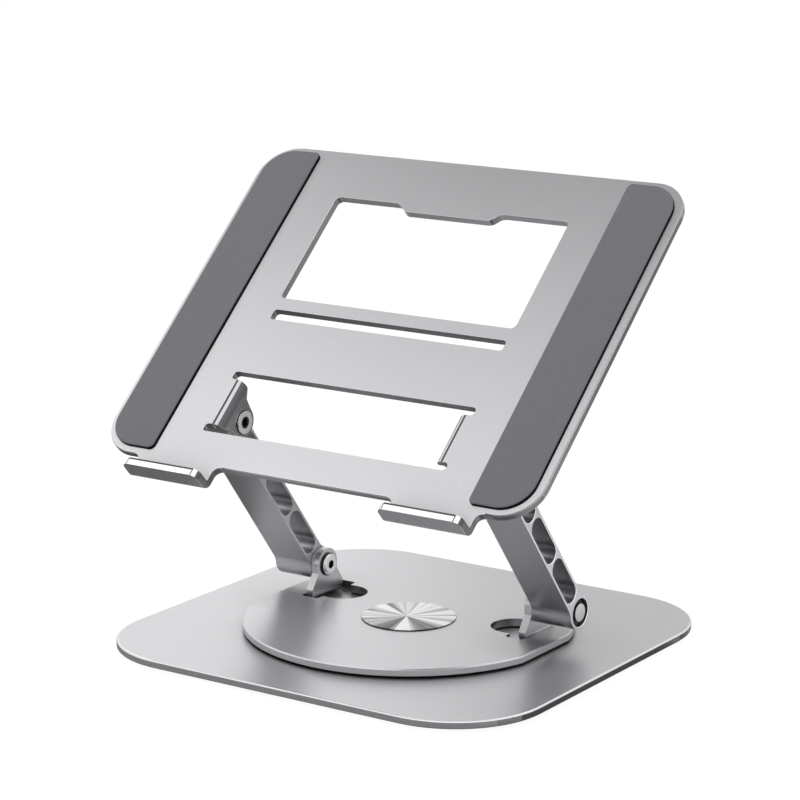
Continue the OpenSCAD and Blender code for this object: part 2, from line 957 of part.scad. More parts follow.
module lip() {
    overlap = edge_ease + over;
    intersection() {
        translate([0, lip_bend_r - lip_reach, lip_bend_r - tray_t])
            rotate([90, 0, 90])
                linear_extrude(lip_w, center = true)
                    bent_section(lip_bend_r, tray_t, lip_reach - lip_bend_r + overlap, lip_h + tray_t - lip_bend_r);
        rotate([90, 0, 0])
            linear_extrude(2 * lip_reach + 2 * overlap, center = true)
                lip_outline();
    }
    for (side = [0, 1])
        mirror([side, 0, 0])
            translate([lip_w / 2, 0, -tray_t])
                linear_extrude(tray_t)
                    neck_fillet();
}

module tray_plate() {
    color(sheet_color)
        on_tray() {
            difference() {
                translate([0, tray_d / 2, -tray_t])
                    eased_plate(tray_w, tray_d, tray_t, tray_corner_r, tray_corner_r, edge_ease, edge_ease);
                translate([0, 0, -tray_t - over])
                    linear_extrude(tray_t + 2 * over) {
                        high_opening();
                        rounded_rect([-slot_half, slot_v - slot_w / 2], [slot_half, slot_v + slot_w / 2], slot_corner_r);
                        low_opening();
                    }
            }
            both_sides()
                tray_lug();
            for (side = [-1, 1])
                translate([side * lip_x, 0, 0])
                    lip();
        }
}

module pad() {
    on_tray()
        translate([pad_inner + pad_w / 2, pad_front + pad_d / 2, 0])
            eased_plate(pad_w, pad_d, pad_t, pad_inner_r, pad_outer_r, pad_ease, 0);
}

module pad_left() {
    color(pad_color)
        mirror([1, 0, 0])
            pad();
}

module pad_right() {
    color(pad_color)
        pad();
}

base_plate();
corner_feet();
spindle_hub();
thrust_washer();
retainer_plate();
retainer_screws();
turntable_disc();
slip_washer();
centre_cap();
lower_bolt_left();
lower_bolt_right();
lower_head_washers();
lower_spring_washers();
lower_lock_nuts();
arm_left();
arm_right();
lower_hinge_bushes();
upper_hinge_bushes();
lower_friction_washers();
upper_friction_washers();
upper_bolt_left();
upper_bolt_right();
upper_head_washers();
upper_spring_washers();
upper_lock_nuts();
tray_plate();
pad_left();
pad_right();
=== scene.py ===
"""Looks of a folding laptop stand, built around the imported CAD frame.

The stand is a tray of bent aluminium sheet on two arms, over a disc that turns on a flat base. Each
sub-assembly is a class that copies its CAD pieces with softly broken edges and dresses them. Lengths are in
metres.
"""

import json
import logging
import math
from dataclasses import dataclass, field, replace
from enum import Enum
from typing import Callable

import bmesh
import bpy
from mathutils import Matrix, Vector


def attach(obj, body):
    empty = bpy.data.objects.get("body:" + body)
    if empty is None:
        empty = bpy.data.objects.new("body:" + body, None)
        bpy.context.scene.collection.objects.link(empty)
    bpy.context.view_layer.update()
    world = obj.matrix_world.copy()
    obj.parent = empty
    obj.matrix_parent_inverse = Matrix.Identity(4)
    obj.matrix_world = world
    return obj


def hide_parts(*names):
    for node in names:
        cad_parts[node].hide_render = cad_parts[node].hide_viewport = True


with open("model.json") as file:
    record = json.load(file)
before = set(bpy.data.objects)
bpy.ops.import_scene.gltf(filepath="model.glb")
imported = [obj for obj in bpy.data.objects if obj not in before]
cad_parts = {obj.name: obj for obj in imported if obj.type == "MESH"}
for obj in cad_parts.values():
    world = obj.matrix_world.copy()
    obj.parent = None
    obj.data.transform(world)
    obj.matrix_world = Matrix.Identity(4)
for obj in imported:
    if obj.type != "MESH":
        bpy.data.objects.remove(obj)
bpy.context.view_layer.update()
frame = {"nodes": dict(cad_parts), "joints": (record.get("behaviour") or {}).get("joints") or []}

log = logging.getLogger("laptop_stand")
MM = 0.001
Triple = tuple[float, float, float]
Tree = bpy.types.NodeTree
Socket = bpy.types.NodeSocket
Face = bpy.types.MeshPolygon
WHITE = (1, 1, 1, 1)


class Body(Enum):
    """The five rigid bodies of the stand."""

    BASE = "base"
    TURNTABLE = "turntable"
    ARMS = "arms"
    UPPER_HINGE = "upper_hinge"
    TRAY = "tray"


class Side(Enum):
    """Left or right half of the stand, as the pieces' names say it."""

    LEFT = "left"
    RIGHT = "right"


# ---------------- node helpers


@dataclass
class NodeSheet:
    """A node tree with short calls for adding and joining nodes.

    Attributes:
        tree: The node tree that is being filled.
    """

    tree: Tree

    def feed(self, slot: Socket, value: object) -> None:
        """Links an input to the value if that is a socket, and otherwise sets the input to it."""
        if isinstance(value, Socket):
            self.tree.links.new(value, slot)
        else:
            slot.default_value = value

    def add(
        self, kind: str, inputs: dict[str | int, object] | None = None, **settings: object
    ) -> bpy.types.Node:
        """Adds a node, sets its properties and then feeds its inputs.

        Args:
            kind: The node's type name.
            inputs: Sockets or plain values for its inputs, by name or by place.
            settings: Properties of the node by name.

        Returns:
            The new node.
        """
        node = self.tree.nodes.new(kind)
        for name, value in settings.items():
            setattr(node, name, value)
        for key, value in (inputs or {}).items():
            self.feed(node.inputs[key], value)
        return node

    def math(self, operation: str, *values: object) -> Socket:
        """Adds a Math node on sockets or plain numbers and returns its value."""
        return self.add("ShaderNodeMath", dict(enumerate(values)), operation=operation).outputs[0]

    def noise(self, vector: Socket, scale: object, detail: float = 2.0) -> Socket:
        """Adds a noise texture and returns its value."""
        inputs = {"Vector": vector, "Scale": scale, "Detail": detail}
        return self.add("ShaderNodeTexNoise", inputs).outputs["Fac"]

    def spread(self, value: Socket, low: float, high: float) -> Socket:
        """Maps a 0 to 1 value onto the range from low to high."""
        inputs = {"Value": value, "To Min": low, "To Max": high}
        return self.add("ShaderNodeMapRange", inputs).outputs["Result"]

    def scaled(self, colour: Socket, share: Socket) -> Socket:
        """Scales a colour by a share."""
        inputs = {0: colour, "Scale": share}
        return self.add("ShaderNodeVectorMath", inputs, operation="SCALE").outputs[0]

    def group(self, tree: Tree, **inputs: object) -> bpy.types.Node:
        """Adds a node group and feeds its inputs by name."""
        return self.add("ShaderNodeGroup", inputs, node_tree=tree)


def new_group(
    name: str, inputs: dict[str, float], outputs: tuple[str, ...]
) -> tuple[NodeSheet, bpy.types.Node, bpy.types.Node]:
    """Starts a shader node group with a vector input and named sockets.

    Args:
        name: The group's name.
        inputs: Name and default of each float input.
        outputs: Name of each float output.

    Returns:
        A sheet that fills the group's tree, the group's input node and its output node.
    """
    tree = bpy.data.node_groups.new(name, "ShaderNodeTree")
    tree.interface.new_socket("Vector", in_out="INPUT", socket_type="NodeSocketVector")
    for label, default in inputs.items():
        socket = tree.interface.new_socket(label, in_out="INPUT", socket_type="NodeSocketFloat")
        socket.default_value = default
    for label in outputs:
        tree.interface.new_socket(label, in_out="OUTPUT", socket_type="NodeSocketFloat")
    sheet = NodeSheet(tree)
    return sheet, sheet.add("NodeGroupInput"), sheet.add("NodeGroupOutput")


def bare_material(name: str) -> tuple[bpy.types.Material, NodeSheet]:
    """Makes a material without nodes, and a sheet that fills it."""
    material = bpy.data.materials.new(name)
    material.use_nodes = True
    material.node_tree.nodes.clear()
    return material, NodeSheet(material.node_tree)


def add_object(name: str, data: bpy.types.ID) -> bpy.types.Object:
    """Makes an object of some data and puts it in the scene."""
    item = bpy.data.objects.new(name, data)
    bpy.context.scene.collection.objects.link(item)
    return item


@dataclass
class SharedEffects:
    """The node groups that more than one finish uses, with the numbers they are built from.

    Attributes:
        coarse_share: Scale of the grain's swell, as a share of the grain's own.
        pit_share: Scale of the grain's pits, as a share of the grain's own.
        wipe_range: The part of the cloud noise that the handling mask spreads over 0 to 1.
        fan_stops: Levels of the painted sheen from the far side, at 0, to the front ray, at 1.
        ray_scale: How many painted highlight and dark reflection rays the painted sheen has.
        ray_gain: Contrast of the painted rays.
        ray_floor: Level that the contrast starts from.
        ray_lean: How much lighter one side of the painted sheen is than its middle, as painted light.
        gap_samples: Rays that feel for a gap, for the painted gap shade.
    """

    coarse_share: float = 0.22
    pit_share: float = 0.5
    wipe_range: tuple[float, float] = (0.15, 0.85)
    fan_stops: tuple[tuple[float, float], ...] = (
        (0.0, 0.62), (0.12, 0.8), (0.3, 0.62), (0.42, 0.72), (0.7, 0.66),
        (0.84, 0.4), (0.92, 0.15), (0.972, 0.2), (0.99, 0.7), (1.0, 1.1),
    )
    ray_scale: float = 3.6
    ray_gain: float = 6.5
    ray_floor: float = -2.25
    ray_lean: float = 0.15
    gap_samples: int = 12
    grain: Tree = field(init=False)
    handling: Tree = field(init=False)
    lathe: Tree = field(init=False)
    gap_shade: Tree = field(init=False)
    own_gap_shade: Tree = field(init=False)
    painted_sheen: Tree = field(init=False)

    def __post_init__(self) -> None:
        """Builds each group once."""
        self.grain = self._grain()
        self.handling = self._handling()
        self.lathe = self._lathe()
        self.gap_shade = self._gap_shade("Openness", False)
        self.own_gap_shade = self._gap_shade("OwnOpenness", True)
        self.painted_sheen = self._painted_sheen()

    def _grain(self) -> Tree:
        """Fine pits of a blasted or moulded surface: a height and a speckle mask."""
        sheet, start, end = new_group("Grain", {"Scale": 2600.0, "Coarse": 0.1}, ("Height", "Speckle"))
        where, scale = start.outputs["Vector"], start.outputs["Scale"]
        fine = sheet.noise(where, scale, 3.0)
        coarse = sheet.noise(where, sheet.math("MULTIPLY", scale, self.coarse_share), 1.0)
        swell = sheet.math("MULTIPLY", coarse, start.outputs["Coarse"])
        sheet.feed(end.inputs["Height"], sheet.math("ADD", fine, swell))
        spacing = sheet.math("MULTIPLY", scale, self.pit_share)
        pits = sheet.add("ShaderNodeTexVoronoi", {"Vector": where, "Scale": spacing}, feature="F1")
        sheet.feed(end.inputs["Speckle"], sheet.spread(pits.outputs["Distance"], 0.0, 1.0))
        return sheet.tree

    def _handling(self) -> Tree:
        """Broad cloudy change of gloss left by wiping and handling, as a 0 to 1 mask."""
        sheet, start, end = new_group("Handling", {"Scale": 14.0}, ("Mask",))
        cloud = sheet.noise(start.outputs["Vector"], start.outputs["Scale"], 3.0)
        low, high = self.wipe_range
        mask = sheet.add("ShaderNodeMapRange", {"Value": cloud, "From Min": low, "From Max": high})
        sheet.feed(end.inputs["Mask"], mask.outputs["Result"])
        return sheet.tree

    def _painted_sheen(self) -> Tree:
        """Painted highlight and dark reflection rays round the Z axis of the vector, one bright ray between
        two dark ones.
        """
        sheet, start, end = new_group("Sunburst", {"Front": 0.0, "Darkest": 0.1}, ("Share",))
        parts = sheet.add("ShaderNodeSeparateXYZ", {0: start.outputs["Vector"]})
        angle = sheet.math("ARCTAN2", parts.outputs["Y"], parts.outputs["X"])
        turned = sheet.math("SUBTRACT", angle, start.outputs["Front"])
        along, across = sheet.math("COSINE", turned), sheet.math("SINE", turned)
        nearness = sheet.spread(sheet.math("MULTIPLY_ADD", along, 0.5, 0.5), 0.0, 1.0)
        fan = sheet.add("ShaderNodeValToRGB", {"Fac": nearness})
        while len(fan.color_ramp.elements) < len(self.fan_stops):
            fan.color_ramp.elements.new(0.5)
        for element, (place, level) in zip(fan.color_ramp.elements, self.fan_stops):
            element.position = place
            element.color = (level, level, level, 1)
        circle = sheet.add("ShaderNodeCombineXYZ", {"X": along, "Y": across})
        streaks = sheet.noise(circle.outputs[0], self.ray_scale, 3.0)
        rays = sheet.math("MULTIPLY_ADD", streaks, self.ray_gain, self.ray_floor)
        lean = sheet.math("MULTIPLY_ADD", across, self.ray_lean, 1.0)
        level = sheet.math("MULTIPLY", sheet.math("MULTIPLY", fan.outputs["Color"], rays), lean)
        held = sheet.math("MINIMUM", sheet.math("MAXIMUM", level, start.outputs["Darkest"]), 1.0)
        sheet.feed(end.inputs["Share"], held)
        return sheet.tree

    def _gap_shade(self, name: str, own_only: bool) -> Tree:
        """Painted shade for gaps, by how open a spot lies, from 0 deep in a gap to 1 in the clear.

        Args:
            name: The group's name.
            own_only: True if only the piece itself closes the gap.

        Returns:
            The group's tree.
        """
        sheet, start, end = new_group(name, {"Distance": 0.05, "Depth": 0.5, "Fall": 1.0}, ("Share",))
        around = sheet.add(
            "ShaderNodeAmbientOcclusion", {"Distance": start.outputs["Distance"]},
            samples=self.gap_samples, only_local=own_only,
        )
        fallen = sheet.math("POWER", around.outputs["AO"], start.outputs["Fall"])
        shut = sheet.math("MULTIPLY", sheet.math("SUBTRACT", 1.0, fallen), start.outputs["Depth"])
        sheet.feed(end.inputs["Share"], sheet.math("SUBTRACT", 1.0, shut))
        return sheet.tree

    def _lathe(self) -> Tree:
        """Fine rings round the Z axis of the given vector, as turning leaves them."""
        sheet, start, end = new_group("Lathe", {"Pitch": 0.25 * MM}, ("Height",))
        parts = sheet.add("ShaderNodeSeparateXYZ", {0: start.outputs["Vector"]})
        squares = [sheet.math("MULTIPLY", parts.outputs[axis], parts.outputs[axis]) for axis in "XY"]
        radius = sheet.math("SQRT", sheet.math("ADD", *squares))
        ring = sheet.add("ShaderNodeCombineXYZ", {"X": sheet.math("DIVIDE", radius, start.outputs["Pitch"])})
        sheet.feed(end.inputs["Height"], sheet.noise(ring.outputs[0], 1.0))
        return sheet.tree


# ---------------- finishes


@dataclass(frozen=True)
class Finish:
    """A surface finish that can dress a piece.

    Attributes:
        name: The material's name.
        colour: Linear base colour.
        metallic: How metallic the surface is.
        roughness: Middle of the roughness range.
        roughness_swing: How far handling moves the roughness each way.
        tint_swing: How far the grain moves the colour's brightness each way.
        grain_scale: Grain features per metre.
        grain_depth: Height of the grain, in metres.
        gap_depth: How much darker the deepest gaps are, from 0 to 1.
        gap_reach: How far a gap's shade reaches, in metres.
        gap_fall: How early the shade sets in.
        own_gaps: True if only gaps within the piece itself count.
        shine: How strongly the surface reflects where it isn't metal.
        speckle_share: Scale of the colour's speckle, as a share of the grain's.
    """

    name: str
    colour: Triple
    metallic: float
    roughness: float
    roughness_swing: float = 0.04
    tint_swing: float = 0.03
    grain_scale: float = 2600.0
    grain_depth: float = 0.00002
    # gap_depth: How much darker painted shade makes the deepest gaps, from 0 to 1.
    gap_depth: float = 0.0
    gap_reach: float = 0.04
    gap_fall: float = 1.5
    own_gaps: bool = False
    shine: float = 0.5
    speckle_share: float = 0.5

    def place(self, sheet: NodeSheet) -> Socket:
        """Gives the coordinates that the finish is laid out in."""
        return sheet.add("ShaderNodeTexCoord").outputs["Object"]

    def height(self, sheet: NodeSheet, effects: SharedEffects, where: Socket) -> Socket:
        """Gives the relief that the Bump node takes, as a share of grain_depth."""
        return sheet.group(effects.grain, Vector=where, Scale=self.grain_scale).outputs["Height"]

    def shade(self, sheet: NodeSheet, effects: SharedEffects, colour: Socket) -> Socket:
        """Paints shade into a colour where the surface lies in a gap or a recess."""
        if self.gap_depth <= 0:
            return colour
        gaps = sheet.group(
            effects.own_gap_shade if self.own_gaps else effects.gap_shade,
            Distance=self.gap_reach, Depth=self.gap_depth, Fall=self.gap_fall,
        )
        return sheet.scaled(colour, gaps.outputs["Share"])

    def build(self, effects: SharedEffects) -> bpy.types.Material:
        """Builds the material.

        Args:
            effects: The shared node groups.

        Returns:
            The finished material.
        """
        material, sheet = bare_material(self.name)
        where = self.place(sheet)
        grain = sheet.group(effects.grain, Vector=where, Scale=self.grain_scale * self.speckle_share)
        handling = sheet.group(effects.handling, Vector=where)
        darker, lighter = (
            (*(min(1.0, part * share) for part in self.colour), 1)
            for share in (1 - self.tint_swing, 1 + self.tint_swing)
        )
        inputs = {"A": darker, "B": lighter, "Factor": grain.outputs["Speckle"]}
        tint = sheet.add("ShaderNodeMix", inputs, data_type="RGBA")
        low, high = self.roughness - self.roughness_swing, self.roughness + self.roughness_swing
        relief = self.height(sheet, effects, where)
        bump = sheet.add("ShaderNodeBump", {"Distance": self.grain_depth, "Height": relief})
        inputs = {
            "Base Color": self.shade(sheet, effects, tint.outputs["Result"]),
            "Metallic": self.metallic,
            "Specular IOR Level": self.shine,
            "Roughness": sheet.spread(handling.outputs["Mask"], low, high),
            "Normal": bump.outputs["Normal"],
        }
        shader = sheet.add("ShaderNodeBsdfPrincipled", inputs)
        sheet.add("ShaderNodeOutputMaterial", {"Surface": shader.outputs["BSDF"]})
        return material


@dataclass(frozen=True)
class TurnedFinish(Finish):
    """A lathe-turned finish with fine rings round an axis.

    Attributes:
        centre: A point on the axis, in metres.
        along_x: True for an axis along X, False for one along Z.
        pitch: Distance between rings, in metres.
    """

    centre: Triple = (0.0, 0.0, 0.0)
    along_x: bool = False
    pitch: float = 0.25 * MM

    def place(self, sheet: NodeSheet) -> Socket:
        """Gives coordinates with their Z along the axis."""
        turn = (0.0, math.pi / 2 if self.along_x else 0.0, 0.0)
        inputs = {"Vector": super().place(sheet), "Location": self.centre, "Rotation": turn}
        return sheet.add("ShaderNodeMapping", inputs, vector_type="TEXTURE").outputs["Vector"]

    def height(self, sheet: NodeSheet, effects: SharedEffects, where: Socket) -> Socket:
        """Gives the rings as the relief."""
        return sheet.group(effects.lathe, Vector=where, Pitch=self.pitch).outputs["Height"]


@dataclass(frozen=True)
class PaintedSheenFinish(TurnedFinish):
    """A spun disc whose colour carries a painted sheen: a fan of painted highlight and dark reflection rays.

    Attributes:
        front_angle: Direction of the brightest painted highlight ray, in degrees from +X.
        darkest: Share of the colour that the darkest painted ray keeps.
    """

    front_angle: float = -63.0
    darkest: float = 0.1

    def shade(self, sheet: NodeSheet, effects: SharedEffects, colour: Socket) -> Socket:
        """Paints the fan of highlight and dark reflection rays into the colour."""
        front = math.radians(self.front_angle)
        burst = sheet.group(
            effects.painted_sheen, Vector=self.place(sheet), Front=front, Darkest=self.darkest
        )
        return sheet.scaled(colour, burst.outputs["Share"])


@dataclass
class FinishShop:
    """Builds each finish once and hands it out.

    Attributes:
        effects: The shared node groups.
        made: Finished materials by name.
    """

    effects: SharedEffects
    made: dict[str, bpy.types.Material] = field(default_factory=dict)

    def get(self, finish: Finish) -> bpy.types.Material:
        """Returns the material of a finish, building it the first time."""
        if finish.name not in self.made:
            self.made[finish.name] = finish.build(self.effects)
        return self.made[finish.name]


# A finish's gap_depth paints shade into its colour in gaps, recesses and under other parts.
ANODISED_SHEET = Finish(
    "blasted_anodised_sheet", (0.64, 0.638, 0.655), metallic=1.0, roughness=0.3, roughness_swing=0.015,
    tint_swing=0.025, grain_scale=3000.0, grain_depth=0.000008, gap_depth=0.55,
)
ANODISED_TRAY = replace(ANODISED_SHEET, name="blasted_anodised_tray", metallic=0.75, own_gaps=True)
BASE_SHEET = replace(ANODISED_SHEET, name="blasted_anodised_base", roughness=0.32, gap_depth=0.35)
# The disc lugs' flat sides: a lighter copy of the sheet with less painted shade, as painted light.
DISC_LUG = replace(ANODISED_SHEET, name="blasted_anodised_disc_lug", metallic=0.85, gap_depth=0.1)
# The tray lugs' flat sides: the tray's sheet painted darker, as painted shade and painted dark reflection.
SHADED_TRAY_LUG = replace(
    ANODISED_TRAY, name="blasted_anodised_tray_lug", colour=(0.34, 0.338, 0.352), metallic=0.92,
    roughness=0.2, gap_depth=0.2,
)
# The lips' outer faces: the tray's sheet painted darker, as painted shade.
SHADED_LIP_FACE = replace(
    ANODISED_TRAY, name="blasted_anodised_lip", colour=(0.56, 0.558, 0.575), metallic=0.92, gap_depth=0.2
)
ANODISED_BAR = replace(
    ANODISED_SHEET, name="blasted_anodised_bar", colour=(0.55, 0.548, 0.568), roughness=0.31,
    roughness_swing=0.02, gap_depth=0.25,
)
# A painted dark line where a bend or a lip's crest turns away, standing for a dark reflection and shade.
PAINTED_DARK_LINE = Finish(
    "bend_crease", (0.09, 0.09, 0.095), metallic=1.0, roughness=0.34, roughness_swing=0.03,
    tint_swing=0.05, grain_scale=2400.0, grain_depth=0.00001,
)
# Painted shade across the lug bends and the lips' ends.
BEND_SHADE = replace(
    PAINTED_DARK_LINE, name="stretched_bend_skin", colour=(0.13, 0.13, 0.138), metallic=0.5, roughness=0.45
)
# The sheet's cut walls and chamfers painted darker, as painted shade and dark reflection; the outer rim
# darker still.
SHADED_CUT_EDGE = replace(
    PAINTED_DARK_LINE, name="blanked_sheet_edge", colour=(0.36, 0.358, 0.375), grain_scale=2200.0,
    grain_depth=0.00002, gap_depth=0.4,
)
RIM_WALL = replace(SHADED_CUT_EDGE, name="blanked_outer_rim", colour=(0.2, 0.199, 0.207))
# Lit and shaded copies of the cut edge: painted light at the front, painted shade at the turn, the side and
# the back.
BASE_FRONT = replace(
    SHADED_CUT_EDGE, name="blanked_base_front", colour=(0.6, 0.598, 0.625), metallic=0.8, gap_depth=0.0
)
BASE_TURN = replace(BASE_FRONT, name="blanked_base_turn", colour=(0.44, 0.438, 0.458))
BASE_SIDE = replace(
    BASE_FRONT, name="blanked_base_side", colour=(0.13, 0.129, 0.136), metallic=0.5, shine=0.3
)
BASE_BACK = replace(BASE_SIDE, name="blanked_base_back", colour=(0.03, 0.03, 0.032), shine=0.2)
# Polished broken edges, also used as painted highlight on the lips' crests and ends.
BRIGHT_EDGE = Finish(
    "polished_broken_edge", (0.93, 0.93, 0.94), metallic=1.0, roughness=0.24, roughness_swing=0.02,
    tint_swing=0.02, grain_scale=3000.0, grain_depth=0.000006,
)
GREY_SILICONE = Finish(
    "grey_silicone", (0.142, 0.14, 0.152), metallic=0.0, roughness=0.62, roughness_swing=0.05,
    tint_swing=0.05, grain_scale=1800.0, grain_depth=0.00005,
)
# The pads' sides painted near black, as painted shade.
PAD_SIDE_SHADE = replace(
    GREY_SILICONE, name="silicone_edge", colour=(0.008, 0.008, 0.009), roughness=0.7, roughness_swing=0.04,
    grain_depth=0.00004, shine=0.05,
)
FOOT_RUBBER = Finish(
    "foot_rubber", (0.03, 0.03, 0.032), metallic=0.0, roughness=0.75, roughness_swing=0.05,
    tint_swing=0.1, grain_scale=1500.0, grain_depth=0.00006,
)
# Real black washers, and painted shade in the cap's wall and the bolts' sockets and recesses.
BLACK_OXIDE_AND_PAINTED_SHADE = Finish(
    "black_oxide", (0.02, 0.02, 0.022), metallic=0.6, roughness=0.42, roughness_swing=0.06,
    tint_swing=0.1, grain_scale=2500.0, grain_depth=0.00001,
)
ZINC_STEEL = Finish(
    "zinc_plate", (0.56, 0.57, 0.58), metallic=1.0, roughness=0.34, roughness_swing=0.05,
    tint_swing=0.04, grain_scale=2200.0, grain_depth=0.00001,
)
ACETAL = Finish(
    "acetal", (0.78, 0.77, 0.73), metallic=0.0, roughness=0.42, roughness_swing=0.05,
    tint_swing=0.02, grain_scale=1600.0, grain_depth=0.00001,
)
# The cap's rings are relief; its colour carries a painted sheen of highlight and dark reflection rays.
SPUN_CAP_PAINTED_SHEEN = PaintedSheenFinish(
    "spun_cap", (0.9, 0.9, 0.91), metallic=1.0, roughness=0.23, roughness_swing=0.03,
    tint_swing=0.02, grain_scale=2400.0, grain_depth=0.000004, pitch=0.3 * MM,
)
UPPER_BOLT = TurnedFinish(
    "turned_bolt_upper", (0.88, 0.88, 0.89), metallic=1.0, roughness=0.23, roughness_swing=0.03,
    tint_swing=0.03, grain_scale=2400.0, grain_depth=0.00001, along_x=True,
)
LOWER_BOLT = replace(UPPER_BOLT, name="turned_bolt_lower", colour=(0.78, 0.78, 0.79), roughness=0.22)
LOWER_NUT = replace(LOWER_BOLT, name="turned_nut_lower", colour=(0.5, 0.5, 0.51), roughness_swing=0.035)


# ---------------- pieces


@dataclass
class Workshop:
    """Makes visual pieces from CAD nodes and records what it made.

    Attributes:
        shop: Where the finishes come from.
        made: Names of the pieces made so far.
        weld: Distance within which corners are one.
        flat_angle: Greatest turn between faces that are joined into one, in degrees.
        broken_angle: Least turn at which an edge is broken, in degrees.
        sharp_angle: Least turn at which the shading stays sharp, in degrees.
        blunt_turns: Turns between which an upright corner counts as blunt, in degrees.
        sheet_span: Lengths between which an edge runs through a sheet's thickness.
    """

    shop: FinishShop
    made: list[str] = field(default_factory=list)
    weld: float = 0.002 * MM
    flat_angle: float = 0.6
    broken_angle: float = 32.0
    sharp_angle: float = 40.0
    blunt_turns: tuple[float, float] = (25.0, 60.0)
    sheet_span: tuple[float, float] = (3.5 * MM, 4.5 * MM)

    def eased_copy(
        self, node: str, body: Body, finish: Finish, ease: float, edge: Finish | None = None,
        score: tuple[Vector, Vector] | None = None, round_off: float = 0.0,
    ) -> bpy.types.Object:
        """Copies a CAD node with its sharp edges broken, and puts the copy in its place.

        Args:
            node: The CAD node's name.
            body: The body that the piece moves with.
            finish: The finish that dresses it.
            ease: Width of the broken edge, in metres.
            edge: A finish of its own for the broken edges, if they have one.
            score: A point and a normal of a plane that parts the faces it meets, so that each half can be
                painted.
            round_off: Reach of the rounding that the sheet's blunt upright corners get, in metres.

        Returns:
            The new piece.
        """
        mesh = frame["nodes"][node].data.copy()
        mesh.name = node + "_eased"
        mesh.materials.clear()
        self._prepare(mesh, score, round_off)
        mesh.materials.append(self.shop.get(finish))
        if edge:
            mesh.materials.append(self.shop.get(edge))
        piece = add_object("look_" + node, mesh)
        self._break_edges(piece, ease, 1 if edge else -1)
        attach(piece, body.value)
        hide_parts(node)
        self.made.append(node)
        log.info("%s: %d faces", piece.name, len(piece.data.polygons))
        return piece

    def _prepare(
        self, mesh: bpy.types.Mesh, score: tuple[Vector, Vector] | None, round_off: float
    ) -> None:
        """Joins a mesh's flat faces and gives it the cuts and roundings that are asked for.

        Args:
            mesh: The mesh to change.
            score: A point and a normal of a plane that parts the faces it meets, or None.
            round_off: Reach of the rounding of blunt upright corners, in metres.
        """
        work = bmesh.new()
        work.from_mesh(mesh)
        bmesh.ops.remove_doubles(work, verts=work.verts, dist=self.weld)
        bmesh.ops.dissolve_limit(
            work, angle_limit=math.radians(self.flat_angle), verts=work.verts, edges=work.edges,
            delimit={"NORMAL"},
        )
        if score:
            everything = work.verts[:] + work.edges[:] + work.faces[:]
            bmesh.ops.bisect_plane(work, geom=everything, plane_co=score[0], plane_no=score[1])
        bmesh.ops.recalc_face_normals(work, faces=work.faces)
        if round_off:
            blunt = [line for line in work.edges if self._is_blunt_corner(line)]
            bmesh.ops.bevel(work, geom=blunt, offset=round_off, segments=6, profile=0.5, affect="EDGES")
        for face in work.faces:
            face.smooth = True
        work.to_mesh(mesh)
        work.free()

    def _break_edges(self, piece: bpy.types.Object, ease: float, edge_slot: int) -> None:
        """Breaks a piece's sharp edges and levels the shading of its faces.

        Args:
            piece: The piece to change.
            ease: Width of the broken edge, in metres.
            edge_slot: Material slot of the broken edges, or -1 for that of their neighbours.
        """
        bevel = piece.modifiers.new("broken_edge", "BEVEL")
        bevel.width = ease
        bevel.segments = 2
        bevel.limit_method = "ANGLE"
        bevel.angle_limit = math.radians(self.broken_angle)
        bevel.use_clamp_overlap = True
        bevel.harden_normals = False
        bevel.miter_outer = "MITER_ARC"
        bevel.material = edge_slot
        piece.data.shade_smooth()
        piece.data.set_sharp_from_angle(angle=math.radians(self.sharp_angle))
        level = piece.modifiers.new("level_faces", "WEIGHTED_NORMAL")
        level.mode = "FACE_AREA"
        level.weight = 100
        level.keep_sharp = True
        graph = bpy.context.evaluated_depsgraph_get()
        eased = bpy.data.meshes.new_from_object(piece.evaluated_get(graph))
        eased.name = piece.data.name
        piece.modifiers.clear()
        piece.data = eased

    def _is_blunt_corner(self, line: bmesh.types.BMEdge) -> bool:
        """Says whether an edge runs through a bent sheet's thickness at a blunt turn of its outline."""
        shortest, longest = self.sheet_span
        if len(line.link_faces) != 2 or not shortest < line.calc_length() < longest:
            return False
        plumb = abs((line.verts[0].co - line.verts[1].co).x) < 0.01 * MM
        least, greatest = self.blunt_turns
        return plumb and least < math.degrees(line.calc_face_angle(0.0)) < greatest

    def dress(self, node: str, finish: Finish) -> None:
        """Gives a CAD node a better material and leaves its shape alone."""
        item = frame["nodes"][node]
        item.data.materials.clear()
        item.data.materials.append(self.shop.get(finish))
        self.made.append(node)
        log.info("%s: dressed", node)

    def second_finish(
        self, piece: bpy.types.Object, finish: Finish, wanted: Callable[[Face], bool]
    ) -> None:
        """Gives some faces of a piece a second finish.

        Args:
            piece: The piece to change.
            finish: The finish for the chosen faces.
            wanted: Says whether a face is chosen.
        """
        self.paint(piece, lambda face: finish if face.material_index == 0 and wanted(face) else None)

    def paint(self, piece: bpy.types.Object, choose: Callable[[Face], Finish | None]) -> None:
        """Gives each face the finish chosen for it.

        Args:
            piece: The piece to change.
            choose: Names the finish of a face, or None to leave the face as it is.
        """
        slots: dict[str, int] = {}
        for face in piece.data.polygons:
            finish = choose(face)
            if finish is None:
                continue
            if finish.name not in slots:
                piece.data.materials.append(self.shop.get(finish))
                slots[finish.name] = len(piece.data.materials) - 1
            face.material_index = slots[finish.name]


def joint_place(name: str) -> Vector:
    """Returns the anchor of a joint of the record, in metres."""
    found = next(j for j in frame["joints"] if j["name"] == name)
    return Vector(found.get("pos_m", (0, 0, 0)))


